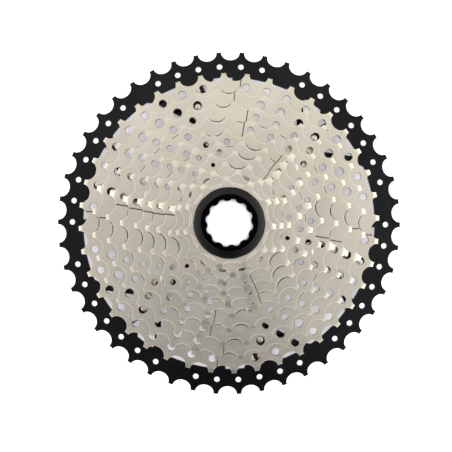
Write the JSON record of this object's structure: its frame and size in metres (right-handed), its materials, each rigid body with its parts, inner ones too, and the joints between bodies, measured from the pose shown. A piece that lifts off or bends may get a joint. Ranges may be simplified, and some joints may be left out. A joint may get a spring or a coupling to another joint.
{
  "type": "bicycle cassette",
  "caption": "Wide-range bicycle rear cassette: stepped steel sprockets on two armed carriers, a black largest sprocket and a notched lock ring.",
  "frame": {"origin": "middle of the freehub bore, on the flat inboard face that the cassette rests on", "axes": "+Z along the axle, pointing outboard from the largest sprocket to the lock ring; +Y and +X lie in the plane of the sprockets"},
  "size_m": [0.1866, 0.1864, 0.0427],
  "materials": {
    "nickel_steel": "satin nickel-plated stamped steel",
    "black_anodised": "black anodised aluminium, satin",
    "red_anodised": "dark red anodised aluminium",
    "rivet_steel": "bright zinc-plated steel",
    "lock_ring_black": "black anodised aluminium with a fine knurl"
  },
  "bodies": {
    "large_cluster": {"carrier_large": "red_anodised", "sprocket_46t": "black_anodised", "sprocket_40t": "nickel_steel", "sprocket_36t": "nickel_steel", "rivet_46t_1": "rivet_steel", "rivet_46t_2": "rivet_steel", "rivet_46t_3": "rivet_steel", "rivet_46t_4": "rivet_steel", "rivet_46t_5": "rivet_steel", "rivet_46t_6": "rivet_steel", "rivet_40t_1": "rivet_steel", "rivet_40t_2": "rivet_steel", "rivet_40t_3": "rivet_steel", "rivet_40t_4": "rivet_steel", "rivet_40t_5": "rivet_steel", "rivet_40t_6": "rivet_steel", "rivet_36t_1": "rivet_steel", "rivet_36t_2": "rivet_steel", "rivet_36t_3": "rivet_steel", "rivet_36t_4": "rivet_steel", "rivet_36t_5": "rivet_steel", "rivet_36t_6": "rivet_steel"},
    "small_cluster": {"carrier_small": "red_anodised", "sprocket_32t": "nickel_steel", "sprocket_28t": "nickel_steel", "sprocket_24t": "nickel_steel", "rivet_32t_1": "rivet_steel", "rivet_32t_2": "rivet_steel", "rivet_32t_3": "rivet_steel", "rivet_32t_4": "rivet_steel", "rivet_32t_5": "rivet_steel", "rivet_32t_6": "rivet_steel", "rivet_28t_1": "rivet_steel", "rivet_28t_2": "rivet_steel", "rivet_28t_3": "rivet_steel", "rivet_28t_4": "rivet_steel", "rivet_28t_5": "rivet_steel", "rivet_28t_6": "rivet_steel", "rivet_24t_1": "rivet_steel", "rivet_24t_2": "rivet_steel", "rivet_24t_3": "rivet_steel", "rivet_24t_4": "rivet_steel", "rivet_24t_5": "rivet_steel", "rivet_24t_6": "rivet_steel"},
    "spacer_24_21": {"spacer_24_21": "red_anodised"},
    "sprocket_21t": {"sprocket_21t": "nickel_steel"},
    "spacer_21_18": {"spacer_21_18": "red_anodised"},
    "sprocket_18t": {"sprocket_18t": "nickel_steel"},
    "spacer_18_15": {"spacer_18_15": "red_anodised"},
    "sprocket_15t": {"sprocket_15t": "nickel_steel"},
    "sprocket_13t": {"sprocket_13t": "nickel_steel"},
    "sprocket_11t": {"sprocket_11t": "nickel_steel"},
    "lock_ring_washer": {"lock_ring_washer": "rivet_steel"},
    "lock_ring": {"lock_ring": "lock_ring_black"}
  },
  "joints": [
    {"name": "small_cluster_slide", "type": "slide", "parent": "large_cluster", "child": "small_cluster", "axis": [0, 0, 1], "range_m": [0, 0.012]},
    {"name": "spacer_24_21_slide", "type": "slide", "parent": "small_cluster", "child": "spacer_24_21", "axis": [0, 0, 1], "range_m": [0, 0.006]},
    {"name": "sprocket_21t_slide", "type": "slide", "parent": "spacer_24_21", "child": "sprocket_21t", "axis": [0, 0, 1], "range_m": [0, 0.006]},
    {"name": "spacer_21_18_slide", "type": "slide", "parent": "sprocket_21t", "child": "spacer_21_18", "axis": [0, 0, 1], "range_m": [0, 0.006]},
    {"name": "sprocket_18t_slide", "type": "slide", "parent": "spacer_21_18", "child": "sprocket_18t", "axis": [0, 0, 1], "range_m": [0, 0.006]},
    {"name": "spacer_18_15_slide", "type": "slide", "parent": "sprocket_18t", "child": "spacer_18_15", "axis": [0, 0, 1], "range_m": [0, 0.006]},
    {"name": "sprocket_15t_slide", "type": "slide", "parent": "spacer_18_15", "child": "sprocket_15t", "axis": [0, 0, 1], "range_m": [0, 0.006]},
    {"name": "sprocket_13t_slide", "type": "slide", "parent": "sprocket_15t", "child": "sprocket_13t", "axis": [0, 0, 1], "range_m": [0, 0.006]},
    {"name": "sprocket_11t_slide", "type": "slide", "parent": "sprocket_13t", "child": "sprocket_11t", "axis": [0, 0, 1], "range_m": [0, 0.006]},
    {"name": "lock_ring_advance", "type": "slide", "parent": "sprocket_11t", "child": "lock_ring_washer", "axis": [0, 0, 1], "range_m": [0, 0.0075]},
    {"name": "lock_ring_turn", "type": "hinge", "parent": "lock_ring_washer", "child": "lock_ring", "pos_m": [0, 0, 0.0413], "axis": [0, 0, 1], "range_deg": [0, 2520]}
  ],
  "couplings": [
    {"joint": "lock_ring_advance", "follows": "lock_ring_turn", "m_per_rad": 0.00016839}
  ]
}
